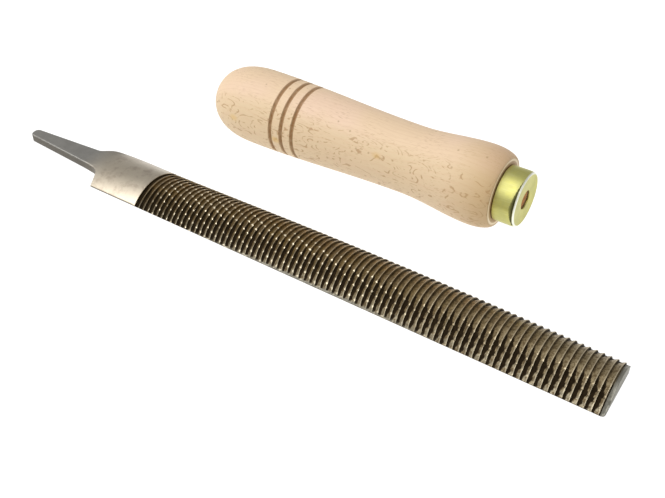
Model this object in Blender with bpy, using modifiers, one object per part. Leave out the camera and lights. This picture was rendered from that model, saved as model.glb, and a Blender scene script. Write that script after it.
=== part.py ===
"""A half-round wood rasp and its turned beech handle, lying side by side.

The rasp is one forged steel bar: flat underneath, crowned and toothed on top,
with a plain shank and a tapered tang. The handle is loose, so it lies level
beside the blade on its two swells, with its ferrule towards the rasp's point.

Frame: +X runs along the blade towards its point, +Z is up, and the origin is
under the middle of the whole set, on the surface that it lies on. Metres.
"""
from math import cos, exp, pi, sin, sqrt

import bmesh
import bpy

MM = 0.001

# --- driving dimensions: blade ---------------------------------------------
BODY_LENGTH = 200 * MM        # heel to point
BLADE_WIDTH = 23.2 * MM
EDGE_THICKNESS = 0.5 * MM     # at the two long edges
HEEL_THICKNESS = 3.8 * MM     # along the centre line
BELLY_THICKNESS = 8.3 * MM
POINT_THICKNESS = 6.4 * MM
SHANK_LENGTH = 22.3 * MM      # smooth length before the first tooth
TOOTH_COUNT = 80
TOOTH_PITCH = 2.2 * MM
TOOTH_DEPTH = 0.75 * MM
GULLET_SHARE = 0.4            # part of a pitch that is the gullet floor
POINT_ROUND = 1.2 * MM        # corner radius at the point
POINT_BEVEL = 0.9 * MM        # how far the smooth strip falls at the point

# --- driving dimensions: tang ----------------------------------------------
TANG_LENGTH = 42 * MM
TANG_ROOT_HALF = 5.2 * MM     # half width where it leaves the heel
TANG_TIP_HALF = 2.1 * MM
TANG_TIP_THICKNESS = 3.6 * MM
TANG_ROOT_DROP = 0.15 * MM    # the tang's top falls this much behind the heel
TANG_RELIEF = 0.5 * MM        # its underside stands this much off the bench
TANG_TIP_ROUND = 1.3 * MM
CROWN_FADE = 12 * MM          # length over which the round top flattens
CROWN_FLAT = (2.5 * MM, 9.5 * MM)    # behind the heel, where the round top goes flat
SHANK_EASE = (10 * MM, 4 * MM)       # before and behind the heel
# The two shoulders are forged unlike: (start behind the heel, reach of the
# curve, its sharpness or 0 for a smooth S, narrowing of the shank). The near
# one is almost square, the far one starts later and slopes.
NEAR_SHOULDER = (0 * MM, 8 * MM, 5.0, 0 * MM)
FAR_SHOULDER = (2 * MM, 8.5 * MM, 0, 0.8 * MM)

# --- driving dimensions: handle and ferrule --------------------------------
HANDLE_LENGTH = 131 * MM      # with its ferrule
FERRULE_LENGTH = 8.1 * MM
SWELL_RADIUS = 14.7 * MM      # both swells, so the handle lies level
BUTT_LENGTH = 21 * MM         # domed end, up to the rear swell
REAR_SWELL_END = 23.7 * MM
BUTT_FULLNESS = 2.45          # exponent of the dome's curve
WAIST_RADIUS = 12.65 * MM
WAIST_PLACE = 87.6 * MM       # from the butt
FRONT_SWELL_PLACE = 114.2 * MM
COLLAR_RADIUS = 11.8 * MM     # wood against the ferrule's back edge
GROOVE_PLACES = (33.3 * MM, 38.1 * MM, 42.9 * MM)
GROOVE_WIDTH = 1.6 * MM
GROOVE_DEPTH = 0.9 * MM
FERRULE_RADIUS = 10 * MM
FERRULE_WALL = 0.7 * MM
FERRULE_HOLE_RADIUS = 3.8 * MM
FERRULE_EDGE_ROUND = 1.1 * MM
FIT_GAP = 0.3 * MM            # between the ferrule and the wood
SOCKET_RADIUS = 3.5 * MM      # bore for the tang
SOCKET_STEP_RADIUS = 3.1 * MM
SOCKET_STEP_DEPTH = 34 * MM
SOCKET_DEPTH = 56 * MM

# --- layout ----------------------------------------------------------------
HANDLE_TO_BLADE = 51.3 * MM   # centre line to centre line
BUTT_FROM_HEEL = 15 * MM

# --- mesh fineness ---------------------------------------------------------
CROWN_SEGMENTS = 8
PLAIN_STEP = 6 * MM           # station spacing on smooth steel
ROUND_SIDES = 40

TOTAL_LENGTH = TANG_LENGTH + BODY_LENGTH
HEEL_X = TANG_LENGTH - TOTAL_LENGTH / 2
POINT_X = TOTAL_LENGTH / 2
HALF_WIDTH = BLADE_WIDTH / 2
# The set reaches from the blade's near edge to the handle's far swell.
SET_WIDTH = HALF_WIDTH + HANDLE_TO_BLADE + SWELL_RADIUS
BLADE_Y = HALF_WIDTH - SET_WIDTH / 2
HANDLE_Y = BLADE_Y + HANDLE_TO_BLADE
BUTT_X = HEEL_X + BUTT_FROM_HEEL


def clear_scene():
    for thing in list(bpy.data.objects):
        bpy.data.objects.remove(thing, do_unlink=True)


def make_collection(name):
    collection = bpy.data.collections.new(name)
    bpy.context.scene.collection.children.link(collection)
    return collection


def make_material(name, color, roughness, metallic):
    material = bpy.data.materials.new(name)
    material.use_nodes = True
    shader = material.node_tree.nodes["Principled BSDF"]
    shader.inputs["Base Color"].default_value = (*color, 1.0)
    shader.inputs["Roughness"].default_value = roughness
    shader.inputs["Metallic"].default_value = metallic
    return material


# --- blade: a section that changes along the bar ----------------------------

def belly(along):
    """Full thickness on the centre line at a distance from the heel."""
    share = min(max(along / BODY_LENGTH, 0.0), 1.0)
    return (HEEL_THICKNESS * (1 - share) * (1 - 2 * share)
            + 4 * BELLY_THICKNESS * share * (1 - share)
            + POINT_THICKNESS * share * (2 * share - 1))


def smooth(share):
    """A smooth step from 0 to 1."""
    share = min(max(share, 0.0), 1.0)
    return share * share * (3 - 2 * share)


def half_width(along, shoulder):
    """Centre line to one side: parallel blade, hollow shoulder, tapered tang."""
    start, length, sharpness, narrowing = shoulder
    before, behind = SHANK_EASE
    widest = HALF_WIDTH - narrowing * smooth((before - along) / (before + behind))
    if along >= 0:
        past = max(along - (BODY_LENGTH - POINT_ROUND), 0.0)
        return widest - POINT_ROUND + sqrt(max(POINT_ROUND**2 - past**2, 0.0))
    behind = -along
    taper = TANG_ROOT_HALF + (TANG_TIP_HALF - TANG_ROOT_HALF) * behind / TANG_LENGTH
    reach = min(max(1 - (behind - start) / length, 0.0), 1.0)
    flare = (widest - taper) * (reach**sharpness if sharpness else smooth(reach))
    past = max(behind - (TANG_LENGTH - TANG_TIP_ROUND), 0.0)
    return taper + flare - (TANG_TIP_ROUND - sqrt(max(TANG_TIP_ROUND**2 - past**2, 0.0)))


def top_height(along):
    """Height of the centre line's top, before any tooth is cut."""
    if along >= 0:
        strip = BODY_LENGTH - SHANK_LENGTH - TOOTH_COUNT * TOOTH_PITCH
        past = max(along - (BODY_LENGTH - strip), 0.0)
        return belly(along) - POINT_BEVEL * past / strip
    behind = -along
    root = HEEL_THICKNESS - TANG_ROOT_DROP * (1 - exp(-behind / CROWN_FADE * 3))
    fall = HEEL_THICKNESS - TANG_ROOT_DROP - TANG_TIP_THICKNESS
    return root - fall * behind / TANG_LENGTH


def crown_drop(along, across):
    """How far the round back lies below its centre line; it fades on the tang."""
    rise = belly(along) - EDGE_THICKNESS
    radius = (HALF_WIDTH**2 + rise**2) / (2 * rise)
    start, end = CROWN_FLAT
    fade = 1 - smooth((-along - start) / (end - start))
    return (radius - sqrt(radius**2 - across**2)) * fade


def underside(along):
    """The flat back lies on the bench; the tang's underside stands off it."""
    behind = min(max(-along / CROWN_FADE, 0.0), 1.0)
    return TANG_RELIEF * behind * behind * (3 - 2 * behind)


def blade_stations():
    """(distance from the heel, tooth cut) of every section, tang to point."""
    behind = [TANG_LENGTH, TANG_LENGTH - 0.3 * TANG_TIP_ROUND, TANG_LENGTH - TANG_TIP_ROUND]
    start, length = FAR_SHOULDER[:2]
    tang_steps = int((TANG_LENGTH - start - length) / PLAIN_STEP)
    behind += [TANG_LENGTH - TANG_TIP_ROUND - PLAIN_STEP * step for step in range(1, tang_steps)]
    shoulder_steps = 6
    shares = [1 - step / shoulder_steps for step in range(shoulder_steps)]
    behind += [start + length * share for share in shares]
    behind += [start * share**2 for share in shares]
    stations = [(-distance, 0.0) for distance in behind]
    shank_steps = int(SHANK_LENGTH / PLAIN_STEP)
    stations += [(SHANK_LENGTH * step / shank_steps, 0.0) for step in range(shank_steps + 1)]
    for tooth in range(TOOTH_COUNT):
        start = SHANK_LENGTH + tooth * TOOTH_PITCH
        face = 0.1 * TOOTH_PITCH
        stations += [(start + face, 1.0),
                     (start + GULLET_SHARE * TOOTH_PITCH, 1.0),
                     (start + TOOTH_PITCH, 0.0)]
    strip_steps = 3
    strip = SHANK_LENGTH + TOOTH_COUNT * TOOTH_PITCH
    stations += [(strip + (BODY_LENGTH - strip) * step / strip_steps, 0.0)
                 for step in range(1, strip_steps + 1)]
    return stations


def section(along, cut):
    """One closed section: across the crown, down one side, back underneath."""
    near = half_width(along, NEAR_SHOULDER)
    far = half_width(along, FAR_SHOULDER)
    points = []
    for step in range(CROWN_SEGMENTS + 1):
        across = (near + far) * step / CROWN_SEGMENTS - near
        body = top_height(along) - crown_drop(along, across)
        depth = min(TOOTH_DEPTH, 0.5 * body) * cut
        points.append((across, body - depth))
    low = underside(along)
    return points + [(far, low), (-near, low)]


def make_blade(collection):
    """A grid wrapped round the sections, its seam welded and its ends filled."""
    stations = blade_stations()
    around = CROWN_SEGMENTS + 3
    mesh = bpy.data.meshes.new("rasp_blade")
    grid = bmesh.new()
    bmesh.ops.create_grid(grid, x_segments=len(stations) - 1, y_segments=around, size=0.5)
    sections = [section(along, cut) for along, cut in stations]
    for vert in grid.verts:
        row = round((vert.co.x + 0.5) * (len(stations) - 1))
        column = round((vert.co.y + 0.5) * around) % around
        across, height = sections[row][column]
        vert.co = (HEEL_X + stations[row][0], BLADE_Y + across, height)
    bmesh.ops.remove_doubles(grid, verts=grid.verts, dist=1e-7)
    rims = [edge for edge in grid.edges if edge.is_boundary]
    bmesh.ops.holes_fill(grid, edges=rims, sides=0)
    bmesh.ops.recalc_face_normals(grid, faces=grid.faces)
    grid.to_mesh(mesh)
    grid.free()
    blade = bpy.data.objects.new("rasp_blade", mesh)
    collection.objects.link(blade)
    mesh.materials.append(make_material("tempered_steel", (0.16, 0.125, 0.08), 0.42, 0.9))
    return blade


# --- handle and ferrule: turned profiles -------------------------------------

def ease(start, end, share):
    """Smooth step from one value to another with level ends."""
    return start + (end - start) * share * share * (3 - 2 * share)


def handle_radius(place):
    """Radius of the smooth handle at a distance from its butt."""
    if place < BUTT_LENGTH:
        back = (1 - place / BUTT_LENGTH) ** BUTT_FULLNESS
        return SWELL_RADIUS * (1 - back) ** (1 / BUTT_FULLNESS)
    if place < REAR_SWELL_END:
        return SWELL_RADIUS
    if place < WAIST_PLACE:
        share = (place - REAR_SWELL_END) / (WAIST_PLACE - REAR_SWELL_END)
        return ease(SWELL_RADIUS, WAIST_RADIUS, share)
    if place < FRONT_SWELL_PLACE:
        share = (place - WAIST_PLACE) / (FRONT_SWELL_PLACE - WAIST_PLACE)
        return ease(WAIST_RADIUS, SWELL_RADIUS, share)
    front_end = HANDLE_LENGTH - FERRULE_LENGTH
    share = (place - FRONT_SWELL_PLACE) / (front_end - FRONT_SWELL_PLACE)
    return COLLAR_RADIUS + (SWELL_RADIUS - COLLAR_RADIUS) * sqrt(max(1 - share * share, 0.0))


def handle_profile():
    """(radius, height) from the floor of the socket round to the butt."""
    spigot_top = HANDLE_LENGTH - FERRULE_WALL - FIT_GAP
    spigot = FERRULE_RADIUS - FERRULE_WALL - FIT_GAP
    collar = HANDLE_LENGTH - FERRULE_LENGTH - FIT_GAP
    top = HANDLE_LENGTH
    profile = [(0.0, top - SOCKET_DEPTH),
               (SOCKET_STEP_RADIUS, top - SOCKET_DEPTH),
               (SOCKET_STEP_RADIUS, top - SOCKET_STEP_DEPTH),
               (SOCKET_RADIUS, top - SOCKET_STEP_DEPTH),
               (SOCKET_RADIUS, spigot_top),
               (spigot, spigot_top),
               (spigot, collar)]
    front_steps = 5
    places = [collar + (FRONT_SWELL_PLACE - collar) * sin(pi / 2 * step / front_steps)
              for step in range(front_steps + 1)]
    swell_to_groove = GROOVE_PLACES[-1] + GROOVE_WIDTH
    long_steps = 12
    places += [FRONT_SWELL_PLACE + (swell_to_groove - FRONT_SWELL_PLACE) * step / long_steps
               for step in range(1, long_steps)]
    profile += [(handle_radius(place), place) for place in places]
    for groove in reversed(GROOVE_PLACES):
        radius = handle_radius(groove)
        profile += [(radius, groove + GROOVE_WIDTH / 2),
                    (radius - GROOVE_DEPTH, groove),
                    (radius, groove - GROOVE_WIDTH / 2)]
    butt_steps = 12
    places = [REAR_SWELL_END]
    places += [BUTT_LENGTH * (1 - sin(pi / 2 * step / butt_steps)) for step in range(butt_steps)]
    profile += [(handle_radius(place), place) for place in places]
    return profile + [(0.0, 0.0)]


def ferrule_profile():
    """(radius, height) of a drawn cup with a rounded front edge and a hole."""
    front = HANDLE_LENGTH
    back = HANDLE_LENGTH - FERRULE_LENGTH
    inner = FERRULE_RADIUS - FERRULE_WALL
    profile = [(inner, back),
               (inner, front - FERRULE_WALL),
               (FERRULE_HOLE_RADIUS, front - FERRULE_WALL),
               (FERRULE_HOLE_RADIUS, front)]
    round_steps = 3
    for step in range(round_steps + 1):
        angle = pi / 2 * (1 - step / round_steps)
        profile.append((FERRULE_RADIUS - FERRULE_EDGE_ROUND * (1 - cos(angle)),
                        front - FERRULE_EDGE_ROUND * (1 - sin(angle))))
    return profile + [(FERRULE_RADIUS, back)]


def turn(name, profile, closed, material, collection, parent):
    """Turn a profile round the handle's own axis, which lies along +X."""
    mesh = bpy.data.meshes.new(name)
    outline = bmesh.new()
    verts = [outline.verts.new((radius, 0.0, height)) for radius, height in profile]
    for first, second in zip(verts, verts[1:]):
        outline.edges.new((first, second))
    if closed:
        outline.edges.new((verts[-1], verts[0]))
    outline.to_mesh(mesh)
    outline.free()
    piece = bpy.data.objects.new(name, mesh)
    collection.objects.link(piece)
    piece.parent = parent
    piece.location = (BUTT_X - parent.location.x, 0.0, SWELL_RADIUS - parent.location.z)
    piece.rotation_euler = (0.0, pi / 2, 0.0)
    screw = piece.modifiers.new("turned", "SCREW")
    screw.axis = "Z"
    screw.steps = ROUND_SIDES
    screw.render_steps = ROUND_SIDES
    screw.use_merge_vertices = True
    screw.merge_threshold = 1e-6
    screw.use_smooth_shade = True
    mesh.materials.append(material)
    return piece


def make_handle(collection):
    """The handle and its ferrule share an empty on the line they lift along."""
    lift = bpy.data.objects.new("handle_lift_axis", None)
    lift.location = (BUTT_X + HANDLE_LENGTH / 2, HANDLE_Y, 0.0)
    lift.empty_display_size = 20 * MM
    collection.objects.link(lift)
    beech = make_material("beech", (0.72, 0.53, 0.36), 0.5, 0.0)
    brass = make_material("plated_ferrule", (0.62, 0.55, 0.28), 0.3, 0.9)
    turn("beech_handle", handle_profile(), False, beech, collection, lift)
    turn("ferrule", ferrule_profile(), True, brass, collection, lift)


def main():
    clear_scene()
    collection = make_collection("wood_rasp")
    make_blade(collection)
    make_handle(collection)


main()
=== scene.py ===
# %% [markdown]
# # A half-round wood rasp and its loose beech handle
#
# The real set is three pieces: a forged steel blade with its tang, a turned
# beech handle, and a plated metal ferrule pressed on the handle's neck. The
# frame below is the plain working model of all three, already at real size.
# We keep its places and sizes, and make the surfaces that a hand and an eye
# would find on the real tool: cut teeth, chip-breaking nicks, wood grain,
# burnt grooves and a rolled metal rim.

from math import cos, pi, radians, sin

import bpy
import numpy as np
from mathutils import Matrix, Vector


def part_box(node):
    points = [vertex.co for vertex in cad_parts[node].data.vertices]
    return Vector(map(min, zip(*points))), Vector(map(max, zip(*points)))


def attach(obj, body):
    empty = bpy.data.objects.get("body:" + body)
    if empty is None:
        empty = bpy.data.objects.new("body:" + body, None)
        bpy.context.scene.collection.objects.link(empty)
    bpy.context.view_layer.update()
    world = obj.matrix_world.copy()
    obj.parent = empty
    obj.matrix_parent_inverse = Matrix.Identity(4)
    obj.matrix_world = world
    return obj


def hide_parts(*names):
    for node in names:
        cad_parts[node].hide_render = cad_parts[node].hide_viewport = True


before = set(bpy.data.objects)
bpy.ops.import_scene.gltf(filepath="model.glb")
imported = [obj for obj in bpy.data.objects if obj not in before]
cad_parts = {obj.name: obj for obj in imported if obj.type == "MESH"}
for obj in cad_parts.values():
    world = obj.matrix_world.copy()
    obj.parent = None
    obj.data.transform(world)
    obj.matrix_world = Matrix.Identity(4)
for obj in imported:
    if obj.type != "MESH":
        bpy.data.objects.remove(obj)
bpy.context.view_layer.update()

# %% [markdown]
# ## Where everything lies
#
# A maker measures the blank before cutting it. The blade's point, its heel and
# its centre line, and the axis that the handle was turned round, all follow
# from the boxes of the three working pieces, so nothing is placed by eye.

# %% Measure the three blanks
MM = 0.001
BODY_LENGTH = 200 * MM

blade_low, blade_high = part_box("rasp_blade")
handle_low, handle_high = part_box("beech_handle")
ferrule_low, ferrule_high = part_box("ferrule")

TANG_LENGTH = blade_high.x - blade_low.x - BODY_LENGTH
HEEL_X = blade_high.x - BODY_LENGTH
BLADE_Y = (blade_low.y + blade_high.y) / 2
HALF_WIDTH = (blade_high.y - blade_low.y) / 2

BUTT_X = handle_low.x
HANDLE_LENGTH = ferrule_high.x - handle_low.x
AXIS_Y = (handle_low.y + handle_high.y) / 2
AXIS_Z = (handle_low.z + handle_high.z) / 2
SWELL_RADIUS = (handle_high.z - handle_low.z) / 2
FERRULE_LENGTH = ferrule_high.x - ferrule_low.x
FERRULE_RADIUS = (ferrule_high.z - ferrule_low.z) / 2
print("tang", round(TANG_LENGTH / MM, 2), "mm, handle", round(HANDLE_LENGTH / MM, 2), "mm")

# %% [markdown]
# ## The blade's blank
#
# Before the teeth are cut, the blade is a forged bar with a flat back and a
# round top. It is thickest in the middle and thinner at both ends, which
# makers call its belly. Behind the heel the width drops through a hollow
# shoulder into the tang. Each of these is one short rule, a function of the
# distance along the bar, so the whole bar is smooth at any fineness.

# %% The blank as rules
EDGE_THICKNESS = 0.5 * MM
HEEL_THICKNESS, BELLY_THICKNESS, POINT_THICKNESS = 3.8 * MM, 8.3 * MM, 6.4 * MM
SHANK_LENGTH = 22.3 * MM
TOOTH_COUNT = 80
TOOTH_PITCH = 2.2 * MM
TOOTHED_END = SHANK_LENGTH + TOOTH_COUNT * TOOTH_PITCH
POINT_ROUND = 1.2 * MM

TANG_ROOT_HALF, TANG_TIP_HALF = 5.2 * MM, 2.1 * MM
TANG_TIP_THICKNESS = 3.6 * MM
TANG_ROOT_DROP = 0.15 * MM
TANG_RELIEF = 0.5 * MM
TANG_TIP_ROUND = 1.3 * MM
TANG_CHAMFER = 0.5 * MM
CROWN_FADE = 12 * MM
CROWN_FLAT = (2.5 * MM, 9.5 * MM)    # behind the heel, where the round top goes flat
SHANK_EASE = (10 * MM, 4 * MM)       # before and behind the heel
# Each shoulder: where it starts behind the heel, its reach, its sharpness or 0
# for a smooth S, and how much the shank narrows towards it.
NEAR_SHOULDER = (0 * MM, 8 * MM, 5.0, 0 * MM)
FAR_SHOULDER = (2 * MM, 8.5 * MM, 0, 0.8 * MM)


def smooth_step(share):
    """From 0 to 1, level at both ends."""
    share = np.clip(share, 0, 1)
    return share * share * (3 - 2 * share)


def belly(along):
    """Thickness on the centre line, by distance from the heel."""
    share = np.clip(along / BODY_LENGTH, 0, 1)
    return (HEEL_THICKNESS * (1 - share) * (1 - 2 * share)
            + 4 * BELLY_THICKNESS * share * (1 - share)
            + POINT_THICKNESS * share * (2 * share - 1))


def quarter_round(past, radius):
    """How much a rounded corner takes off, by distance into the corner."""
    past = np.clip(past, 0, radius)
    return radius - np.sqrt(radius**2 - past**2)


def half_width(along, shoulder):
    """Centre line to one side: parallel body, hollow shoulder, tapered tang."""
    start, length, sharpness, narrowing = shoulder
    before, after = SHANK_EASE
    widest = HALF_WIDTH - narrowing * smooth_step((before - along) / (before + after))
    body = widest - quarter_round(along - (BODY_LENGTH - POINT_ROUND), POINT_ROUND)
    behind = np.clip(-along, 0, TANG_LENGTH)
    taper = TANG_ROOT_HALF + (TANG_TIP_HALF - TANG_ROOT_HALF) * behind / TANG_LENGTH
    reach = np.clip(1 - (behind - start) / length, 0, 1)
    flare = (widest - taper) * (reach**sharpness if sharpness else smooth_step(reach))
    tip = quarter_round(behind - (TANG_LENGTH - TANG_TIP_ROUND), TANG_TIP_ROUND)
    return np.where(along >= 0, body, taper + flare - tip)


def top_height(along):
    """Height of the centre line's top before any tooth is cut."""
    behind = np.clip(-along, 0, TANG_LENGTH)
    root = HEEL_THICKNESS - TANG_ROOT_DROP * (1 - np.exp(-3 * behind / CROWN_FADE))
    fall = HEEL_THICKNESS - TANG_ROOT_DROP - TANG_TIP_THICKNESS
    return np.where(along >= 0, belly(along), root - fall * behind / TANG_LENGTH)


def crown_radius(along):
    rise = belly(along) - EDGE_THICKNESS
    return (HALF_WIDTH**2 + rise**2) / (2 * rise)


def crown_drop(along, across, near, far):
    """How far the round top lies below its centre line. It fades on the tang,
    which is flat with chamfered edges."""
    radius = crown_radius(along)
    round_top = radius - np.sqrt(radius**2 - across**2)
    body_share = 1 - smooth_step((-along - CROWN_FLAT[0]) / (CROWN_FLAT[1] - CROWN_FLAT[0]))
    to_edge = np.minimum(across + near, far - across)
    chamfer = quarter_round(TANG_CHAMFER - to_edge, TANG_CHAMFER)
    return round_top * body_share + chamfer * (1 - body_share)


def underside(along):
    """The back lies flat on the bench, and the tang stands just off it."""
    behind = np.clip(-along / CROWN_FADE, 0, 1)
    return TANG_RELIEF * behind**2 * (3 - 2 * behind)


print("belly", [round(float(belly(d * MM)) / MM, 2) for d in (0, 24, 100, 200)], "mm")

# %% [markdown]
# ## The teeth
#
# A milled tooth is a short ramp. Its back, called the land, rises slowly
# towards the point and ends in a crest. Behind the crest the cutting face
# drops steeply into a rounded gullet, where the shavings collect. The cutter
# then runs a second time, aslant, and leaves shallow channels that nick every
# crest, so the shavings break. Towards the point those channels go deeper and
# leave the gullets scalloped. The gullets also run out over the far edge and
# make it jagged, while the thin near edge stays bare for a stretch. A small
# seeded unevenness keeps the teeth from looking printed: no real cutter is this
# regular.

# %% Tooth and channel rules
TOOTH_DEPTH = 0.8 * MM
FACE_SHARE = 0.07             # part of a pitch taken by the steep cutting face
NARROW_GULLET, WIDE_GULLET, EDGE_GULLET = 0.13, 0.6, 0.32   # shares of a pitch
FAR_GULLET = 0.5              # where the crown turns over towards the far edge
GULLET_SIDES = (-0.62, -0.2, 0.42, 0.72)    # half widths where the share changes
CLOSING = (45 * MM, 85 * MM)  # along the blade, where it starts to close at the edge
CLOSING_SIDE = (0.78, 0.2)    # half widths: where the closing starts, and its reach
LAND_CURVE = 1.1              # above 1, the land flattens out towards its crest
EDGE_NOTCH = 0.9 * MM         # how far each gullet bites into the far edge
NOTCH_START = 0.8             # the share of the far half where the bite begins
BARE_EDGE = (0.965, 0.99)     # half widths, where the uncut near edge begins
BARE_END = (115 * MM, 150 * MM)    # along the blade, where the teeth reach the edge
CHANNEL_SPACING = 3.3 * MM    # along a crest
CHANNEL_SLANT = 0.93 / 2.195  # sideways for each length along the blade
CHANNEL_HALF_WIDTH = 0.42 * MM
CHANNEL_DEPTH = 0.42 * MM
POINT_HALF = (100 * MM, 50 * MM)    # where the point half begins, and its soft border
SCALLOP = 0.17                # how much wider a channel leaves a gullet near the point
SCALLOP_REACH = 2.2           # in half widths of a channel
POINT_CHANNEL_DEEPER = 0.7    # extra channel depth in the point half
CHANNEL_FAR_END = ((45 * MM, 135 * MM), (6 * MM, -5.5 * MM))    # along, across

random = np.random.default_rng(11)
crest_lift = random.uniform(0, 0.05 * MM, TOOTH_COUNT + 1)
channel_share = random.uniform(0.7, 1.15, TOOTH_COUNT + 1)


def gullet_width(along, across):
    """Share of a pitch in the gullet. The cutter bites wider down the near side
    of the crown, and away from the heel it lifts out before the thin edge."""
    side = across / HALF_WIDTH
    width = np.interp(side, GULLET_SIDES,
                      [WIDE_GULLET, NARROW_GULLET, NARROW_GULLET, FAR_GULLET])
    start, reach = CLOSING_SIDE
    closing = np.interp(along, CLOSING, [0, 1]) * np.clip((-side - start) / reach, 0, 1)
    return width - (width - EDGE_GULLET) * closing


def bare_edge(along, across):
    """1 on the thin near edge, which the cutter leaves bare away from the heel."""
    side = -across / HALF_WIDTH
    band = smooth_step((side - BARE_EDGE[0]) / (BARE_EDGE[1] - BARE_EDGE[0]))
    return band * np.interp(along, [*CLOSING, *BARE_END], [0, 1, 1, 0])


def tooth_drop(phase, floor_end):
    """0 on a crest, 1 on the gullet's floor, by the share of a pitch behind it."""
    face = np.clip(phase / FACE_SHARE, 0, 1)
    rise = np.clip((phase - floor_end) / (1 - floor_end), 0, 1)
    return np.minimum(face, (1 - rise) ** LAND_CURVE)


def gullet_scale_and_shade(phase, floor_end):
    """1 on the floor and on the face above it, 0 on the land: black scale there,
    painted darker still as shade. A narrow gullet gets less of both than a wide one."""
    scale = np.interp(floor_end, [NARROW_GULLET, 0.3], [0.6, 1])
    return (scale * np.clip(phase / 0.05, 0, 1)
            * np.clip((floor_end + 0.07 - phase) / 0.1, 0, 1))


def notched(across, far, drop):
    """The gullets run out over the far edge and leave it jagged."""
    outer = smooth_step((across / far - NOTCH_START) / (1 - NOTCH_START))
    return across - EDGE_NOTCH * drop * outer


def channel_offset(along, across):
    """Distance along the crown to the middle of the nearest channel."""
    radius = crown_radius(along)
    arc = radius * np.arcsin(across / radius)
    turns = (arc + CHANNEL_SLANT * along) / CHANNEL_SPACING
    return (turns - np.round(turns)) * CHANNEL_SPACING


def channel_reach(along, across):
    """1 where the channels are at full depth. They start a few teeth in, and
    towards the point they run out on the far side of the crown."""
    start = np.clip((along - SHANK_LENGTH) / TOOTH_PITCH - 2.5, 0, 1)
    far_end = np.interp(along, *CHANNEL_FAR_END)
    return start * np.clip((far_end + 1.5 * MM - across) / (3 * MM), 0, 1)


print("the last land is", round((BODY_LENGTH - TOOTHED_END) / MM, 2), "mm long")

# %% [markdown]
# ## Cut the blade
#
# The blade is a loft: a long row of closed sections joined edge to edge. A
# loft is the honest way here, because the section is never the same twice: it
# is a flat tang, then a crown, then a crown with teeth. Sections crowd together
# at each cutting face and spread out on the land, and inside a section the
# points crowd at the channels, so that the mesh is fine only where the steel
# is. Each point also remembers what happened to it: whether it lies in a
# gullet, whether a channel cut it, and whether it is a crest, bare steel
# or an edge. The finish reads those values later: it paints shade in the
# gullets and on the edges, and a highlight on the crests and the nicks.

# %% Loft helper
PHASES = (0.0, 0.03, 0.06, 0.09, 0.15, 0.22, 0.3, 0.4, 0.52, 0.66, 0.82, 0.94)
CROWN_COLUMNS = 86
CROWDING = 0.4                # how strongly columns gather at the channels
UNDERSIDE_COLUMNS = (1.0, 0.94, 0.925, -0.925, -0.94, -1.0)
UNDERSIDE_CUT = 0.25 * MM
POINT_BEVEL = 0.45 * MM
FAR_CORNER_CUT, FAR_CORNER_LENGTH = 1.6 * MM, 2.4 * MM
POINT_NICK_HIGHLIGHT_LOSS = 0.85      # the painted highlight on the nicks is weaker in the point half
CREST_SHARE = 0.15            # part of a pitch painted brighter, as wear and as a painted highlight
DEEPEST_SHARE = 0.75          # of the steel's thickness at the thin edges
STRIP_START = 0.45 * MM        # bare steel behind the last gullet
NEAR_BAND = (0.72, 0.2)       # half widths: where the lands turn greyer, and over how much
FIRST_GULLET = 1.7 * MM        # a dark run-out where the cutter first enters


def smooth_sharp(piece, degrees):
    """Smooth shading that still breaks at real edges."""
    piece.data.shade_smooth()
    piece.data.set_sharp_from_angle(angle=radians(degrees))


def loft(name, rings, values):
    """Join closed rings of points (rows x columns x 3) into one solid."""
    rows, columns = rings.shape[:2]
    corner = np.arange(rows * columns).reshape(rows, columns)
    beside = np.roll(corner, -1, axis=1)
    quads = np.stack([corner[:-1], corner[1:], beside[1:], beside[:-1]], -1).reshape(-1, 4)
    faces = quads.tolist() + [corner[0].tolist(), corner[-1][::-1].tolist()]
    mesh = bpy.data.meshes.new(name)
    mesh.from_pydata(rings.reshape(-1, 3).tolist(), [], faces)
    for value_name, numbers in values.items():
        layer = mesh.attributes.new(value_name, "FLOAT", "POINT")
        layer.data.foreach_set("value", numbers.reshape(-1).astype(np.float32))
    mesh.update()
    piece = bpy.data.objects.new(name, mesh)
    bpy.context.scene.collection.objects.link(piece)
    print(name, len(mesh.vertices), "points,", len(mesh.polygons), "faces")
    return piece


def blade_stations():
    """Distance from the heel and tooth phase of every section."""
    start, length = FAR_SHOULDER[:2]
    tang = -np.concatenate([
        TANG_LENGTH - TANG_TIP_ROUND * (1 - np.cos(np.linspace(0, pi / 2, 7))),
        np.linspace(TANG_LENGTH - TANG_TIP_ROUND, start + length, 10)[1:-1],
        np.linspace(start + length, start, 14)[:-1],
        start * np.linspace(1, 0, 12)[:-1] ** 2])
    shank = np.linspace(0, SHANK_LENGTH, 12)[:-1]
    plain = np.concatenate([tang, shank])
    teeth = [SHANK_LENGTH + (tooth + phase) * TOOTH_PITCH
             for tooth in range(TOOTH_COUNT) for phase in PHASES]
    last_land = TOOTHED_END + np.array(PHASES[:-2]) * TOOTH_PITCH
    point = BODY_LENGTH - POINT_BEVEL * np.linspace(1, 0, 5)
    along = np.concatenate([plain, teeth, last_land, point])
    phase = np.concatenate([np.zeros(len(plain)), np.tile(PHASES, TOOTH_COUNT), PHASES[:-2],
                            (point - TOOTHED_END) / TOOTH_PITCH])
    return along, phase


along, phase = blade_stations()
print(len(along), "sections")

# %% Cut the crown and the underside
row = along[:, None]
near, far = half_width(row, NEAR_SHOULDER), half_width(row, FAR_SHOULDER)
far = far - FAR_CORNER_CUT * np.clip(1 - (BODY_LENGTH - row) / FAR_CORNER_LENGTH, 0, 1) ** 2
in_teeth = (row >= SHANK_LENGTH) * 1.0
tooth_number = np.clip(((row - SHANK_LENGTH) / TOOTH_PITCH).astype(int), 0, TOOTH_COUNT)

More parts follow.
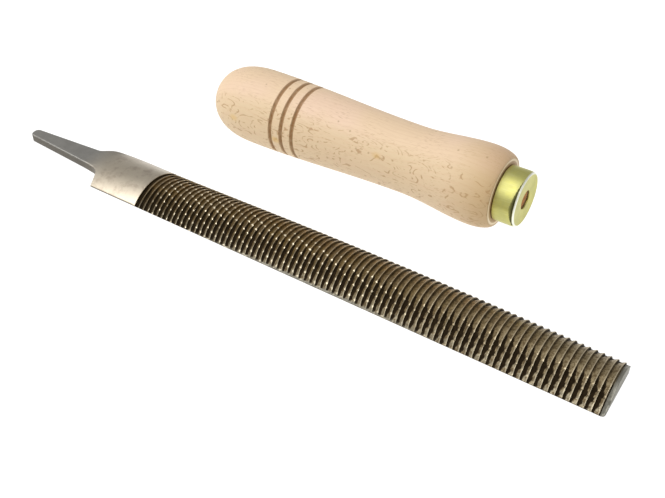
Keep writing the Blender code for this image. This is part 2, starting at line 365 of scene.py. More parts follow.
across = near * -1 + (near + far) * np.linspace(0, 1, CROWN_COLUMNS + 1)[None, :]
gather = CROWDING * in_teeth * (1 - (across / near) ** 8)
across = across - (gather * CHANNEL_SPACING / (2 * pi)
                   * np.sin(2 * pi * channel_offset(row, across) / CHANNEL_SPACING))
edge_drop = tooth_drop(phase[:, None], FAR_GULLET) * in_teeth
across = notched(across, far, edge_drop)
past = quarter_round(row - (BODY_LENGTH - POINT_BEVEL), POINT_BEVEL)
body = top_height(row) - crown_drop(row, across, near, far) - underside(row)
point_half = smooth_step((row - POINT_HALF[0]) / POINT_HALF[1])
offset = channel_offset(row, across) / CHANNEL_HALF_WIDTH
reach = channel_reach(row, across)
scallop = SCALLOP * point_half * reach * np.clip(1 - (offset / SCALLOP_REACH)**2, 0, 1)
floor_end = gullet_width(row, across) + scallop
bare = bare_edge(row, across) * in_teeth
drop = tooth_drop(phase[:, None], floor_end) * in_teeth * (1 - 0.9 * bare)
depth = np.minimum(TOOTH_DEPTH, DEEPEST_SHARE * body)
cut = depth * drop + crest_lift[tooth_number] * in_teeth * (1 - drop) * (body > 1 * MM)
channel = (CHANNEL_DEPTH * (1 + POINT_CHANNEL_DEEPER * point_half) * np.clip(1 - offset**2, 0, 1)
           * reach * channel_share[tooth_number] * in_teeth)
# The nicks carry a painted highlight over their bare steel, weaker in the point half.
bright = 1 - POINT_NICK_HIGHLIGHT_LOSS * point_half
nick_highlight = (channel > cut + 0.03 * MM) * bright
lowered = np.maximum(cut, np.minimum(channel, 0.5 * body))
lowered = lowered + np.minimum(past, 0.6 * body)
height = underside(row) + body - np.minimum(lowered, 0.85 * body)

middle, spread = (far - near) / 2, (far + near) / 2
under_across = notched(middle + spread * np.array(UNDERSIDE_COLUMNS)[None, :], far, edge_drop)
cut_inside = (np.abs(np.array(UNDERSIDE_COLUMNS)) < 0.93)[None, :]
under_drop = tooth_drop(phase[:, None], NARROW_GULLET) * in_teeth * cut_inside
under_height = underside(row) + UNDERSIDE_CUT * under_drop

ring_across = np.concatenate([across, under_across], 1)
ring_height = np.concatenate([height, under_height], 1)
rings = np.stack([np.broadcast_to(HEEL_X + row, ring_across.shape),
                  BLADE_Y + ring_across, ring_height], -1)
# Crests are painted bright: partly wear, partly a painted highlight.
crest = in_teeth * np.where(phase == 0, 1, np.clip(1 - (1 - phase) / CREST_SHARE, 0, 1))[:, None]
strip = (row > TOOTHED_END + STRIP_START) * 1.0
run_out = 0.9 * (row - SHANK_LENGTH < FIRST_GULLET) * (1 - crest)
# Black scale in the gullets, with painted shade over it.
scale_and_painted_shade = np.maximum(gullet_scale_and_shade(phase[:, None], floor_end) * (1 - bare), run_out) * in_teeth
near_edge = np.clip((-across / near - NEAR_BAND[0]) / NEAR_BAND[1], 0, 1) * in_teeth
plain_under = np.zeros_like(under_across)
# The sides of the plain bar and its whole back are marked for painted shade.
outermost = np.zeros_like(across)
outermost[:, [0, -1]] = 1.0
remembered = {
    "gullet": np.concatenate([scale_and_painted_shade, 0.6 * under_drop], 1),
    "bare": np.concatenate([np.maximum(bare, strip), plain_under + strip], 1),
    "near_edge": np.concatenate([near_edge, plain_under], 1),
    "nick": np.concatenate([nick_highlight, plain_under], 1),
    "crest": np.concatenate([crest * np.ones_like(across), plain_under], 1),
    "edge": np.concatenate([outermost * (1 - in_teeth), plain_under + 1.0], 1)}
blade = loft("cut_blade", rings, remembered)
smooth_sharp(blade, 38)

# %% [markdown]
# ## Turn the handle
#
# The handle is turned on a lathe, so it is a profile swept round an axis. The
# profile is again a few rules: a domed butt, a rear swell, a long waist, a
# front swell that fills the palm, and a round shoulder down to the ferrule.
# Three grooves are cut with the lathe running and burnt brown with a wire,
# and their walls towards the butt are painted darker still as shade.
# Sweeping it ourselves, and not with a Screw modifier, lets every ring carry a
# value that says how burnt it is, and where shade or a highlight is painted.

# %% Handle profile
BUTT_LENGTH = 21 * MM
BUTT_FULLNESS = 2.45
REAR_SWELL_END = 23.7 * MM
WAIST_RADIUS = 12.65 * MM
WAIST_PLACE = 87.6 * MM
FRONT_SWELL_PLACE = 114.2 * MM
COLLAR_RADIUS = 11.8 * MM
GROOVE_PLACES = (33.3 * MM, 38.1 * MM, 42.9 * MM)
GROOVE_HALF_WIDTH = 0.88 * MM
GROOVE_DEPTH = 0.85 * MM
FERRULE_WALL = 0.7 * MM
FIT_GAP = 0.3 * MM
SOCKET_RADIUS, SOCKET_STEP_RADIUS = 3.3 * MM, 3.1 * MM
SOCKET_STEP_DEPTH, SOCKET_DEPTH = 34 * MM, 56 * MM


def ease(start, end, share):
    """A smooth step from one radius to another, level at both ends."""
    return start + (end - start) * share * share * (3 - 2 * share)


def handle_radius(place):
    """Radius of the smooth handle, by distance from its butt."""
    front_end = HANDLE_LENGTH - FERRULE_LENGTH
    if place < BUTT_LENGTH:
        back = (1 - place / BUTT_LENGTH) ** BUTT_FULLNESS
        return SWELL_RADIUS * (1 - back) ** (1 / BUTT_FULLNESS)
    if place < REAR_SWELL_END:
        return SWELL_RADIUS
    if place < WAIST_PLACE:
        return ease(SWELL_RADIUS, WAIST_RADIUS,
                    (place - REAR_SWELL_END) / (WAIST_PLACE - REAR_SWELL_END))
    if place < FRONT_SWELL_PLACE:
        return ease(WAIST_RADIUS, SWELL_RADIUS,
                    (place - WAIST_PLACE) / (FRONT_SWELL_PLACE - WAIST_PLACE))
    share = min((place - FRONT_SWELL_PLACE) / (front_end - FRONT_SWELL_PLACE), 1)
    return COLLAR_RADIUS + (SWELL_RADIUS - COLLAR_RADIUS) * (1 - share * share) ** 0.5


def groove_cut(place):
    """Depth of the turned grooves, as a share of their full depth."""
    nearest = min(abs(place - groove) for groove in GROOVE_PLACES)
    return max(1 - (nearest / GROOVE_HALF_WIDTH) ** 2, 0) ** 0.5


def handle_places():
    """Distances from the butt at which the profile has a point."""
    dome = [BUTT_LENGTH * (1 - cos(pi / 2 * step / 40)) for step in range(1, 40)]
    long_part = list(np.arange(BUTT_LENGTH, FRONT_SWELL_PLACE, 1.0 * MM))
    grooves = [groove + GROOVE_HALF_WIDTH * sin(pi / 2 * step / 8)
               for groove in GROOVE_PLACES for step in range(-8, 9)]
    near_groove = [place for place in long_part
                   if min(abs(place - groove) for groove in GROOVE_PLACES) > 1.2 * MM]
    end = HANDLE_LENGTH - FERRULE_LENGTH - FIT_GAP
    shoulder = [FRONT_SWELL_PLACE + (end - FRONT_SWELL_PLACE) * sin(pi / 2 * step / 14)
                for step in range(15)]
    return sorted(dome + near_groove + grooves + shoulder)


PAINTED_HIGHLIGHT_MARK, BORED = -1.0, 2.0       # burn values of a painted highlight on the collar's corner and of the drilled hole
handle_profile = [(0.0, 0.0, 0.0)]
for place in handle_places():
    cut_in = groove_cut(place)
    # The grooves are burnt brown; the front walls get less of it, so the walls towards the butt
    # also carry painted shade.
    front_wall = any(groove < place < groove + GROOVE_HALF_WIDTH for groove in GROOVE_PLACES)
    burn = cut_in * (0.55 if front_wall else 1.0)
    handle_profile.append((place, handle_radius(place) - GROOVE_DEPTH * cut_in, burn))
collar = HANDLE_LENGTH - FERRULE_LENGTH - FIT_GAP
spigot_top = HANDLE_LENGTH - FERRULE_WALL - FIT_GAP
spigot = FERRULE_RADIUS - FERRULE_WALL - FIT_GAP
# The collar's outer corner carries a painted highlight.
handle_profile[-1] = (collar, COLLAR_RADIUS - 0.15 * MM, PAINTED_HIGHLIGHT_MARK)
handle_profile += [(collar, COLLAR_RADIUS - 0.45 * MM, PAINTED_HIGHLIGHT_MARK),
                   # The collar's end face, in the narrow gap to the ferrule, is painted darker
                   # with the scorch colour as shade.
                   (collar, COLLAR_RADIUS - 0.75 * MM, 0.15),
                   (collar, FERRULE_RADIUS + 0.3 * MM, 0.45),
                   (collar, spigot, 0.9), (spigot_top, spigot, 0.0),
                   (spigot_top, SOCKET_RADIUS + 0.15 * MM, 0.0),
                   (spigot_top - 0.3 * MM, SOCKET_RADIUS, BORED),
                   (HANDLE_LENGTH - SOCKET_STEP_DEPTH, SOCKET_RADIUS, BORED),
                   (HANDLE_LENGTH - SOCKET_STEP_DEPTH, SOCKET_STEP_RADIUS, BORED),
                   (HANDLE_LENGTH - SOCKET_DEPTH, SOCKET_STEP_RADIUS, BORED),
                   (HANDLE_LENGTH - SOCKET_DEPTH, 0.0, BORED)]
print(len(handle_profile), "points in the handle's profile")

# %% Sweep a profile round the handle's axis
def turned(name, profile, sides, closed=False):
    """Sweep (place, radius, value) round the axis. A point on the axis is one
    vertex, and the value is kept on each ring under the name 'burn'."""
    verts, values, ring_of = [], [], []
    for place, radius, value in profile:
        count = 1 if radius == 0 else sides
        ring_of.append([len(verts) + step for step in range(count)])
        for step in range(count):
            angle = 2 * pi * step / sides
            verts.append((BUTT_X + place, AXIS_Y + radius * sin(angle),
                          AXIS_Z + radius * cos(angle)))
            values.append(value)
    faces = []
    pairs = list(zip(ring_of, ring_of[1:]))
    if closed:
        pairs.append((ring_of[-1], ring_of[0]))
    for first, second in pairs:
        for step in range(sides):
            a, b = first[step % len(first)], first[(step + 1) % len(first)]
            c, d = second[(step + 1) % len(second)], second[step % len(second)]
            corners = list(dict.fromkeys((a, b, c, d)))
            faces.append(corners)
    mesh = bpy.data.meshes.new(name)
    mesh.from_pydata(verts, [], faces)
    layer = mesh.attributes.new("burn", "FLOAT", "POINT")
    layer.data.foreach_set("value", values)
    mesh.update()
    piece = bpy.data.objects.new(name, mesh)
    bpy.context.scene.collection.objects.link(piece)
    print(name, len(mesh.vertices), "points,", len(mesh.polygons), "faces")
    return piece


grip = turned("turned_handle", handle_profile, 160)
smooth_sharp(grip, 40)

# %% [markdown]
# ## Draw the ferrule
#
# A ferrule stops the wood from splitting when the tang is driven in. It is
# drawn from sheet: a cup with a small hole punched in its floor. The floor
# meets the wall in a tight rolled rim, which carries a painted highlight as a
# thin bright line, and the punch leaves a small rounded lip at the hole. One
# mark from the press stays behind the rim, next to a painted dark reflection.

# %% Ferrule profile and its press mark
RIM_ROUND = 0.75 * MM
DRAW_IN, DRAW_IN_LENGTH = 0.16 * MM, 1.5 * MM    # the wall leans in towards the rim
HOLE_RADIUS = 3.4 * MM
FACE_DISH = 0.18 * MM
MARK_ANGLE = radians(236)         # from straight up, turning towards +Y
MARK_HALF_LENGTH = 1.2 * MM       # along the rim
MARK_HALF_WIDTH = 0.3 * MM
MARK_PLACE = 0.85 * MM            # behind the face
MARK_DEPTH = 0.2 * MM
RIM_HIGHLIGHT_MARK = -1.0                     # a painted highlight along the rolled rim
# The painted dark reflection runs round the wall from its first angle to its
# last, and is widest at the middle one.
DARK_REFLECTION_SIDE = (radians(228), radians(280), radians(345))
DARK_REFLECTION_WIDTH = 1.6 * MM
DARK_REFLECTION_START = 0.8 * RIM_ROUND   # behind the face

front, back = HANDLE_LENGTH, HANDLE_LENGTH - FERRULE_LENGTH
inner = FERRULE_RADIUS - FERRULE_WALL
rim_radius = FERRULE_RADIUS - DRAW_IN
ferrule_profile = [(back + 0.15 * MM, FERRULE_RADIUS), (back, FERRULE_RADIUS - 0.15 * MM),
                   (back, inner), (front - FERRULE_WALL, inner),
                   (front - FERRULE_WALL, HOLE_RADIUS)]
for step in range(5):
    lip = pi / 2 * step / 4
    ferrule_profile.append((front - FACE_DISH - 0.3 * MM * (1 - sin(lip)),
                            HOLE_RADIUS + 0.3 * MM * (1 - cos(lip))))
ferrule_profile.append((front - FACE_DISH * 0.8, rim_radius - 1.6 * RIM_ROUND))
# The rim's arc carries a painted highlight, strongest midway round the turn.
for step in range(13):
    turn = pi / 2 * step / 12
    ferrule_profile.append((front - RIM_ROUND * (1 - cos(turn)),
                            rim_radius - RIM_ROUND * (1 - sin(turn)), RIM_HIGHLIGHT_MARK * sin(2 * turn)))
for step in range(1, 9):
    share = step / 8
    ferrule_profile.append((front - RIM_ROUND - DRAW_IN_LENGTH * share,
                            FERRULE_RADIUS - DRAW_IN * (1 - share) ** 2))
ferrule_profile = [(*point, 0.0)[:3] for point in ferrule_profile]

cup = turned("drawn_ferrule", ferrule_profile, 240, closed=True)
marks = cup.data.attributes["burn"].data
for vertex in cup.data.vertices:
    side, up = vertex.co.y - AXIS_Y, vertex.co.z - AXIS_Z
    radius = (side * side + up * up) ** 0.5
    if radius < inner + 0.1 * MM:
        continue
    turn = np.arctan2(side, up) - MARK_ANGLE
    turn = (turn + pi) % (2 * pi) - pi
    from_face = BUTT_X + HANDLE_LENGTH - vertex.co.x
    share = max(1 - (turn * radius / MARK_HALF_LENGTH) ** 2
                - ((from_face - MARK_PLACE) / MARK_HALF_WIDTH) ** 2, 0)
    shrink = 1 - MARK_DEPTH * share / radius
    vertex.co.y, vertex.co.z = AXIS_Y + side * shrink, AXIS_Z + up * shrink
    angle = (turn + MARK_ANGLE) % (2 * pi)
    wide = np.interp(angle, DARK_REFLECTION_SIDE, (0, 1, 0)) * DARK_REFLECTION_WIDTH
    behind_rim = from_face - DARK_REFLECTION_START
    # A dark reflection is painted on the wall behind the rim, widest at the middle angle.
    dark_reflection = 0.95 * (0 < behind_rim < wide) * (1 - 0.6 * behind_rim / DARK_REFLECTION_WIDTH)
    if share > 0 or dark_reflection > 0:
        marks[vertex.index].value = max(min(2 * share, 1), dark_reflection)
smooth_sharp(cup, 40)

# %% [markdown]
# ## Building a finish from nodes
#
# A finish is a small graph of nodes: patterns, the colours they mix, and one
# shader at the end. A few small helpers keep each recipe readable: they add a
# node and plug its inputs, mix two colours by a factor, do one sum, fade one
# value into another, and turn a pattern into relief.

# %% Node helpers
def new_finish(name):
    """An empty material and its Principled shader."""
    finish = bpy.data.materials.new(name)
    finish.use_nodes = True
    return finish, finish.node_tree.nodes["Principled BSDF"]


def add(tree, kind, inputs=None, **settings):
    """Add a node, set it up, and plug or set its inputs by name or number."""
    made = tree.nodes.new(kind)
    for name, value in settings.items():
        setattr(made, name, value)
    for name, value in (inputs or {}).items():
        if isinstance(value, bpy.types.NodeSocket):
            tree.links.new(value, made.inputs[name])
        else:
            made.inputs[name].default_value = value
    return made


def mix(tree, factor, first, second):
    """Two colours mixed by a factor."""
    made = add(tree, "ShaderNodeMix", data_type="RGBA")
    for number, value in ((0, factor), (6, first), (7, second)):
        if isinstance(value, bpy.types.NodeSocket):
            tree.links.new(value, made.inputs[number])
        elif number == 0:
            made.inputs[number].default_value = value
        else:
            made.inputs[number].default_value = (*value, 1.0)
    return made.outputs[2]


def maths(tree, operation, *values, clamp=False):
    """One step of arithmetic on sockets and numbers."""
    made = tree.nodes.new("ShaderNodeMath")
    made.operation, made.use_clamp = operation, clamp
    for number, value in enumerate(values):
        if isinstance(value, bpy.types.NodeSocket):
            tree.links.new(value, made.inputs[number])
        else:
            made.inputs[number].default_value = value
    return made.outputs[0]


def fade(tree, value, start, end, low=0.0, high=1.0):
    """A smooth ramp from low to high as value goes from start to end."""
    made = add(tree, "ShaderNodeMapRange", {"Value": value, "From Min": start, "From Max": end,
                                            "To Min": low, "To Max": high},
               interpolation_type="SMOOTHSTEP")
    return made.outputs["Result"]


def placed(tree, place=(0, 0, 0), turn=(0, 0, 0), scale=(1, 1, 1)):
    """The piece's own coordinates, moved, turned and stretched."""
    own = add(tree, "ShaderNodeTexCoord").outputs["Object"]
    moved = add(tree, "ShaderNodeVectorMath", {0: own, 1: place}, operation="SUBTRACT")
    turned_by = add(tree, "ShaderNodeVectorRotate", {"Vector": moved.outputs[0], "Rotation": turn},
                    rotation_type="EULER_XYZ")
    stretched = add(tree, "ShaderNodeVectorMath", {0: turned_by.outputs[0], 1: scale},
                    operation="MULTIPLY")
    return stretched.outputs[0]


def noise(tree, vector, scale=1.0, detail=3.0, roughness=0.5):
    made = add(tree, "ShaderNodeTexNoise", {"Vector": vector, "Scale": scale, "Detail": detail,
                                            "Roughness": roughness})
    return made.outputs["Fac"]


def bumped(tree, height, depth):
    """A surface normal from a height pattern, with its depth in metres."""
    made = add(tree, "ShaderNodeBump", {"Height": height, "Distance": depth, "Strength": 1.0})
    return made.outputs["Normal"]


print("node helpers ready")

# %% [markdown]
# ## Steel: tempered teeth, ground shank, plain tang
#
# The whole blade is one bar of steel, but heat and oil have coloured it. The
# teeth were tempered after cutting, so their lands are bronze-brown, and the
# gullets hold black scale, painted darker still as shade. The crests are
# painted bright as wear and as a painted highlight, and the nicks from the
# channel cutter show bare steel with a painted highlight. The sides of the
# plain bar and its whole back carry painted shade. The shank was ground clean
# afterwards, and the tang was kept soft and shows plain grey. One finish with
# soft borders follows the real bar better than three with hard ones.

# %% Blade finish
BRONZE, BRONZE_COOLER = (0.34, 0.225, 0.08), (0.31, 0.215, 0.10)
BRONZE_AT_POINT = (0.37, 0.295, 0.175)
GREY_AT_EDGE = (0.24, 0.22, 0.165)
PIT_BROWN, GRAIN_BROWN = (0.13, 0.088, 0.042), (0.15, 0.105, 0.05)
CREST_WEAR_AND_HIGHLIGHT, NICK_STEEL_AND_HIGHLIGHT = (0.84, 0.74, 0.54), (0.86, 0.76, 0.56)
BLACK_SCALE_AND_SHADE, BARE_STEEL = (0.034, 0.023, 0.012), (0.27, 0.26, 0.22)
GROUND_STEEL, STAINED_STEEL = (0.54, 0.475, 0.375), (0.34, 0.27, 0.21)
TANG_GREY, TANG_GREY_DARKER = (0.33, 0.32, 0.295), (0.28, 0.27, 0.25)
PAINTED_EDGE_SHADE = (0.10, 0.085, 0.065)


def blade_finish():
    finish, shader = new_finish("tempered_rasp_steel")
    tree = finish.node_tree
    own = placed(tree, place=(HEEL_X, BLADE_Y, 0))
    along_blade = add(tree, "ShaderNodeSeparateXYZ", {"Vector": own}).outputs["X"]
    gullet_scale_shade_value = add(tree, "ShaderNodeAttribute", attribute_name="gullet").outputs["Fac"]
    nick_highlight_value = add(tree, "ShaderNodeAttribute", attribute_name="nick").outputs["Fac"]
    crest_value = add(tree, "ShaderNodeAttribute", attribute_name="crest").outputs["Fac"]
    edge_shade_value = add(tree, "ShaderNodeAttribute", attribute_name="edge").outputs["Fac"]
    bare_value = add(tree, "ShaderNodeAttribute", attribute_name="bare").outputs["Fac"]
    near_edge = add(tree, "ShaderNodeAttribute", attribute_name="near_edge").outputs["Fac"]

    patches = noise(tree, own, 160, 4, 0.6)
    fine = noise(tree, own, 2600, 3, 0.6)
    lands = mix(tree, fade(tree, patches, 0.38, 0.62), BRONZE, BRONZE_COOLER)
    near_point = fade(tree, along_blade, 0.08, 0.2)
    lands = mix(tree, near_point, lands, BRONZE_AT_POINT)
    lands = mix(tree, maths(tree, "MULTIPLY", near_edge, 0.75), lands, GREY_AT_EDGE)
    pitted = noise(tree, own, 900, 3, 0.7)
    lands = mix(tree, fade(tree, pitted, 0.47, 0.57, 0.0, 0.8), lands, PIT_BROWN)
    lands = mix(tree, fade(tree, fine, 0.45, 0.7, 0.0, 0.6), lands, GRAIN_BROWN)
    # Crests painted bright as wear and as a painted highlight.
    teeth = mix(tree, maths(tree, "MULTIPLY", crest_value, 0.65), lands, CREST_WEAR_AND_HIGHLIGHT)
    # The gullets: black scale, painted darker still as shade.
    teeth = mix(tree, gullet_scale_shade_value, teeth, BLACK_SCALE_AND_SHADE)
    # Nicks: bare steel with a painted highlight.
    teeth = mix(tree, nick_highlight_value, teeth, NICK_STEEL_AND_HIGHLIGHT)
    teeth = mix(tree, bare_value, teeth, BARE_STEEL)

    stains = fade(tree, noise(tree, own, 210, 5, 0.65), 0.48, 0.68, 0.0, 0.6)
    shank = mix(tree, stains, GROUND_STEEL, STAINED_STEEL)
    tang = mix(tree, fade(tree, patches, 0.3, 0.7), TANG_GREY, TANG_GREY_DARKER)
    plain = mix(tree, fade(tree, along_blade, -0.012, 0.003), tang, shank)
    in_teeth = maths(tree, "GREATER_THAN", along_blade, SHANK_LENGTH - 0.05 * MM)
    steel = mix(tree, in_teeth, plain, teeth)
    # Painted shade on the sides of the plain bar and on its back.
    steel = mix(tree, maths(tree, "MULTIPLY", edge_shade_value, 0.75), steel, PAINTED_EDGE_SHADE)
    tree.links.new(steel, shader.inputs["Base Color"])

    shader.inputs["Metallic"].default_value = 1.0
    rough = fade(tree, gullet_scale_shade_value, 0.0, 1.0, 0.42, 0.75)
    rough = maths(tree, "ADD", rough, fade(tree, pitted, 0.4, 0.65, 0.0, 0.14))
    rough = maths(tree, "SUBTRACT", rough, maths(tree, "MULTIPLY", nick_highlight_value, 0.12))
    plain_rough = fade(tree, along_blade, -0.012, 0.004, 0.52, 0.36)
    rough = add(tree, "ShaderNodeMix", {0: in_teeth, 2: plain_rough, 3: rough}).outputs[0]
    uneven = maths(tree, "MULTIPLY", maths(tree, "SUBTRACT", patches, 0.5), 0.2)
    tree.links.new(maths(tree, "ADD", rough, uneven, clamp=True), shader.inputs["Roughness"])
    ground = placed(tree, place=(HEEL_X, BLADE_Y, 0), scale=(300, 9000, 9000))
    tree.links.new(bumped(tree, noise(tree, ground, 1.0, 3, 0.6), 0.00002),
                   shader.inputs["Normal"])
    return finish


blade.data.materials.append(blade_finish())
print("blade finish on", blade.name)

# %% [markdown]
# ## Beech
#
# Beech is pale and even, with three marks that tell it apart: faint growth
# rings, short dark ray flecks that lie along the grain, and very fine pores.
# The tree's centre was off to one side of the blank, so the rings are nearly
# flat sheets through the handle. A turned swell cuts those sheets in ovals.
# The pattern is solid, like the wood: it is made in three dimensions and the
# lathe only uncovers it.

# %% Handle finish
RING_SPACING = 1.7 * MM
GRAIN_TURN = radians(72)      # how far the ring sheets are turned about the axis
BEECH_PINK, BEECH_CREAM, BEECH_YELLOW = (0.79, 0.58, 0.43), (0.77, 0.58, 0.39), (0.70, 0.54, 0.335)
LATE_WOOD, PORE_BROWN, RAY_BROWN = (0.68, 0.47, 0.30), (0.66, 0.46, 0.29), (0.42, 0.235, 0.105)
CROSS_GRAIN_AND_SHADE, RESIN_SPOT, DARK_SPECK = (0.46, 0.29, 0.115), (0.70, 0.46, 0.16), (0.34, 0.19, 0.08)
SCORCHED, BORED_WOOD, PAINTED_EDGE_HIGHLIGHT = (0.27, 0.13, 0.036), (0.78, 0.45, 0.20), (0.90, 0.74, 0.54)


def beech_finish():
    finish, shader = new_finish("turned_beech")
    tree = finish.node_tree
    centre = (BUTT_X, AXIS_Y, AXIS_Z)
    turn = (GRAIN_TURN, 0, 0)
    grain = placed(tree, place=centre, turn=(GRAIN_TURN, 0.03, 0.02))
    wander = noise(tree, placed(tree, centre, turn, (30, 90, 90)), 1.0, 2, 0.5)
    split = add(tree, "ShaderNodeSeparateXYZ", {"Vector": grain})
    sheet = maths(tree, "ADD", split.outputs["Z"],
                  maths(tree, "MULTIPLY", maths(tree, "SUBTRACT", wander, 0.5), 6 * MM))
    ring = maths(tree, "FRACT", maths(tree, "DIVIDE", sheet, RING_SPACING))
    late_wood = fade(tree, ring, 0.55, 0.95)
    flat_face = fade(tree, maths(tree, "ABSOLUTE", split.outputs["Z"]), 5 * MM, 11 * MM)

    # On the flat-sawn faces the ring sheets come out as broken, curling lines.
    figure = noise(tree, placed(tree, centre, turn, (62, 150, 150)), 1.0, 2, 0.45)
    line = maths(tree, "FRACT", maths(tree, "MULTIPLY", figure, 14))
    stroke = fade(tree, maths(tree, "ABSOLUTE", maths(tree, "SUBTRACT", line, 0.5)), 0.17, 0.04)
    broken = fade(tree, noise(tree, placed(tree, centre, turn, (420, 560, 560)), 1.0, 2, 0.5),
                  0.47, 0.57)
    curls = maths(tree, "MULTIPLY", maths(tree, "MULTIPLY", stroke, broken), flat_face)
    # Elsewhere the rays show as short thin dashes along the grain.
    rays = add(tree, "ShaderNodeTexVoronoi",
               {"Vector": placed(tree, centre, turn, (300, 2600, 2600)), "Scale": 1.0})
    dashes = maths(tree, "MULTIPLY", fade(tree, rays.outputs["Distance"], 0.36, 0.14),
                   fade(tree, noise(tree, grain, 90, 3, 0.55), 0.42, 0.66, 0.1, 0.6))
    flecks = maths(tree, "MAXIMUM", curls, dashes)
    pores = noise(tree, placed(tree, centre, turn, (160, 4200, 4200)), 1.0, 3, 0.6)

    warm = fade(tree, noise(tree, grain, 38, 3, 0.5), 0.35, 0.65)
    wood = mix(tree, warm, BEECH_PINK, BEECH_CREAM)
    wood = mix(tree, maths(tree, "MULTIPLY", flat_face, 0.8), wood, BEECH_YELLOW)
    wood = mix(tree, maths(tree, "MULTIPLY", late_wood, 0.25), wood, LATE_WOOD)
    wood = mix(tree, fade(tree, pores, 0.45, 0.8, 0.0, 0.35), wood, PORE_BROWN)
    wood = mix(tree, maths(tree, "MULTIPLY", flecks, 0.7), wood, RAY_BROWN)
    # The front shoulder is painted darker: it cuts across the grain, and painted shade stands for
    # the light falling off towards the ferrule.
    shoulder = fade(tree, split.outputs["X"], 102 * MM, 126 * MM, 0.0, 0.62)
    wood = mix(tree, shoulder, wood, CROSS_GRAIN_AND_SHADE)
    spots = add(tree, "ShaderNodeTexVoronoi", {"Vector": placed(tree, centre, turn, (42, 60, 60)),
                                               "Scale": 1.0})
    wood = mix(tree, fade(tree, spots.outputs["Distance"], 0.13, 0.04, 0.0, 0.6), wood,
               RESIN_SPOT)
    specks = add(tree, "ShaderNodeTexVoronoi", {"Vector": grain, "Scale": 190})
    wood = mix(tree, fade(tree, specks.outputs["Distance"], 0.1, 0.05, 0.0, 0.45), wood,
               DARK_SPECK)

    burn = add(tree, "ShaderNodeAttribute", attribute_name="burn").outputs["Fac"]
    # Scorch colour for the burnt grooves; it also paints shade on their butt-side walls and on the
    # collar's end face.
    scorch = maths(tree, "MULTIPLY", fade(tree, burn, 0.0, 0.8),
                   fade(tree, noise(tree, grain, 500, 3, 0.6), 0.2, 0.7, 0.6, 0.9))
    wood = mix(tree, scorch, wood, SCORCHED)
    wood = mix(tree, fade(tree, burn, 1.2, 1.8), wood, BORED_WOOD)
    # A painted highlight along the collar's corner.
    wood = mix(tree, fade(tree, burn, -0.3, -0.9), wood, PAINTED_EDGE_HIGHLIGHT)
    tree.links.new(wood, shader.inputs["Base Color"])

    rough = fade(tree, pores, 0.3, 0.7, 0.50, 0.62)
    tree.links.new(rough, shader.inputs["Roughness"])
    shader.inputs["Specular IOR Level"].default_value = 0.35
    relief = maths(tree, "SUBTRACT", maths(tree, "MULTIPLY", pores, 0.5), flecks)
    tree.links.new(bumped(tree, relief, 0.00004), shader.inputs["Normal"])
    return finish


grip.data.materials.append(beech_finish())
print("beech finish on", grip.name)

# %% [markdown]
# ## Plated ferrule
#
# The cup is steel with a thin yellow passivated plating, which has a green
# cast. Drawing leaves very faint lines along its wall, and handling dulls it
# unevenly. The rim carries a painted highlight, and a painted dark reflection
# sits behind it as a wedge. Both come from the value that each ring and point
# of the cup remembers.

# %% Ferrule finish
PLATING, PLATING_DULLER = (0.57, 0.54, 0.165), (0.53, 0.51, 0.18)
DRAW_LINE, PAINTED_RIM_HIGHLIGHT, MARK_AND_DARK_REFLECTION = (0.72, 0.70, 0.42), (0.93, 0.94, 0.84), (0.03, 0.03, 0.012)


def ferrule_finish():
    finish, shader = new_finish("yellow_plated_metal")
    tree = finish.node_tree
    centre = (BUTT_X + HANDLE_LENGTH, AXIS_Y, AXIS_Z)
    cloud = noise(tree, placed(tree, centre), 260, 3, 0.55)
    lines = noise(tree, placed(tree, centre, scale=(200, 5200, 5200)), 1.0, 3, 0.6)
    plating = mix(tree, fade(tree, cloud, 0.35, 0.65), PLATING, PLATING_DULLER)
    plating = mix(tree, fade(tree, lines, 0.45, 0.75, 0.0, 0.3), plating, DRAW_LINE)
    mark = add(tree, "ShaderNodeAttribute", attribute_name="burn").outputs["Fac"]
    # A painted highlight on the rim.
    plating = mix(tree, fade(tree, mark, 0.0, -1.0), plating, PAINTED_RIM_HIGHLIGHT)
    # The press mark is dark, and a dark reflection is painted on the wall behind the rim.
    plating = mix(tree, fade(tree, mark, 0.0, 1.0), plating, MARK_AND_DARK_REFLECTION)
    tree.links.new(plating, shader.inputs["Base Color"])
    shader.inputs["Metallic"].default_value = 1.0
    tree.links.new(fade(tree, cloud, 0.3, 0.7, 0.42, 0.5), shader.inputs["Roughness"])
    tree.links.new(bumped(tree, lines, 0.000006), shader.inputs["Normal"])
    return finish


cup.data.materials.append(ferrule_finish())
print("ferrule finish on", cup.name)

# %% [markdown]
# ## Fasten the pieces to their bodies
#
# The blade stays on the bench and the handle lifts off, ferrule and all. Each
# new piece rides on its body and stands for the plain working piece.

# %% Ride and replace
for piece, body_name, node, slot in ((blade, "blade", "rasp_blade", "tempered_steel"),
                                     (grip, "handle", "beech_handle", "beech"),
                                     (cup, "handle", "ferrule", "plated_ferrule")):
    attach(piece, body_name)
    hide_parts(node)
print("three pieces ride on two bodies")

# %% [markdown]
# ## Bench, light and camera
#
# A tool like this is shown on a white sweep under one broad softbox, so its
# shadows are faint. Metal shows what is round it: the softbox overhead makes
# the near side of the crown bright, and the dimmer room beyond makes the top
# of the shank grey.

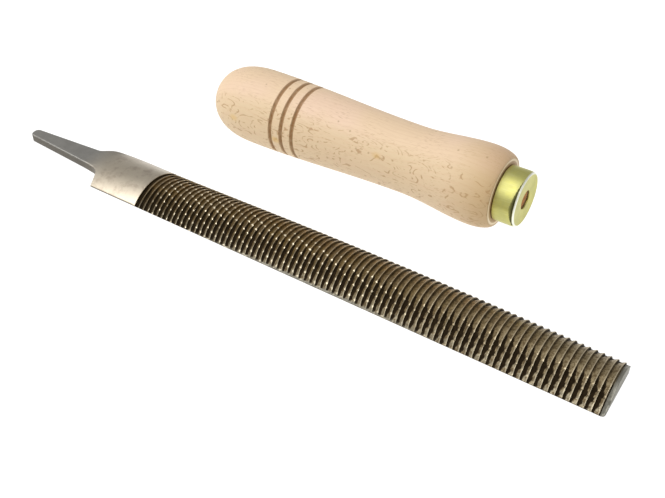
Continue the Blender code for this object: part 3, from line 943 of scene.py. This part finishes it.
# %% White bench and room
def white_bench():
    mesh = bpy.data.meshes.new("white_bench")
    reach = 3.0
    mesh.from_pydata([(-reach, -reach, 0), (reach, -reach, 0), (reach, reach, 0),
                      (-reach, reach, 0)], [], [(0, 1, 2, 3)])
    bench = bpy.data.objects.new("white_bench", mesh)
    bench.location.z = -0.02 * MM
    bpy.context.scene.collection.objects.link(bench)
    paint, shader = new_finish("white_paper")
    shader.inputs["Base Color"].default_value = (0.15, 0.15, 0.15, 1)
    shader.inputs["Roughness"].default_value = 0.9
    shader.inputs["Emission Color"].default_value = (1, 1, 1, 1)
    shader.inputs["Emission Strength"].default_value = 1.0
    mesh.materials.append(paint)
    return bench


def soft_light(name, place, aim, size, power):
    """A square softbox in watts, turned towards the point it lights."""
    lamp = bpy.data.lights.new(name, "AREA")
    lamp.shape, lamp.size, lamp.energy = "SQUARE", size, power
    holder = bpy.data.objects.new(name, lamp)
    holder.location = place
    holder.rotation_euler = (Vector(aim) - Vector(place)).to_track_quat("-Z", "Y").to_euler()
    bpy.context.scene.collection.objects.link(holder)
    return holder


ROOM_LIGHT, ROOM_DARK = 0.5, 0.1
DARK_SIDE = (0.2, -0.96, 0.15)


def studio_room():
    """Even light all round, but dim on the side where the room is open."""
    world = bpy.data.worlds.new("studio_room")
    bpy.context.scene.world = world
    world.use_nodes = True
    tree = world.node_tree
    way = add(tree, "ShaderNodeTexCoord").outputs["Generated"]
    unit = add(tree, "ShaderNodeVectorMath", {0: way}, operation="NORMALIZE").outputs[0]
    facing = add(tree, "ShaderNodeVectorMath", {0: unit, 1: DARK_SIDE}, operation="DOT_PRODUCT")
    level = fade(tree, facing.outputs["Value"], 0.72, 0.93, ROOM_LIGHT, ROOM_DARK)
    tree.links.new(level, tree.nodes["Background"].inputs["Strength"])
    tree.nodes["Background"].inputs["Color"].default_value = (1.0, 1.0, 1.0, 1.0)


white_bench()
studio_room()
soft_light("softbox_overhead", (-0.42, -0.66, 1.15), (-0.1, -0.1, 0), 1.8, 17.5)
soft_light("softbox_front", (-1.0, -0.9, 0.75), (0, 0, 0), 0.7, 3)
soft_light("softbox_right", (1.25, -0.45, 0.45), (0, 0, 0), 0.5, 1.2)
bpy.context.scene.view_settings.view_transform = "Standard"
print("bench and lights set")

# %% Camera
CAMERA_AZIMUTH = radians(33.52)
CAMERA_ELEVATION = radians(39.83)
CAMERA_DISTANCE = 0.3075
CAMERA_AIM = Vector((0.01675, -0.01917, 0.0))

camera_data = bpy.data.cameras.new("camera")
camera_data.lens, camera_data.sensor_width = 48.47, 36.0
camera_data.clip_start = 0.01
camera = bpy.data.objects.new("camera", camera_data)
backward = Vector((sin(CAMERA_AZIMUTH) * cos(CAMERA_ELEVATION),
                   -cos(CAMERA_AZIMUTH) * cos(CAMERA_ELEVATION), sin(CAMERA_ELEVATION)))
camera.location = CAMERA_AIM + CAMERA_DISTANCE * backward
camera.rotation_euler = backward.to_track_quat("Z", "Y").to_euler()
bpy.context.scene.collection.objects.link(camera)
bpy.context.scene.camera = camera
print("camera at", [round(value, 4) for value in camera.location])
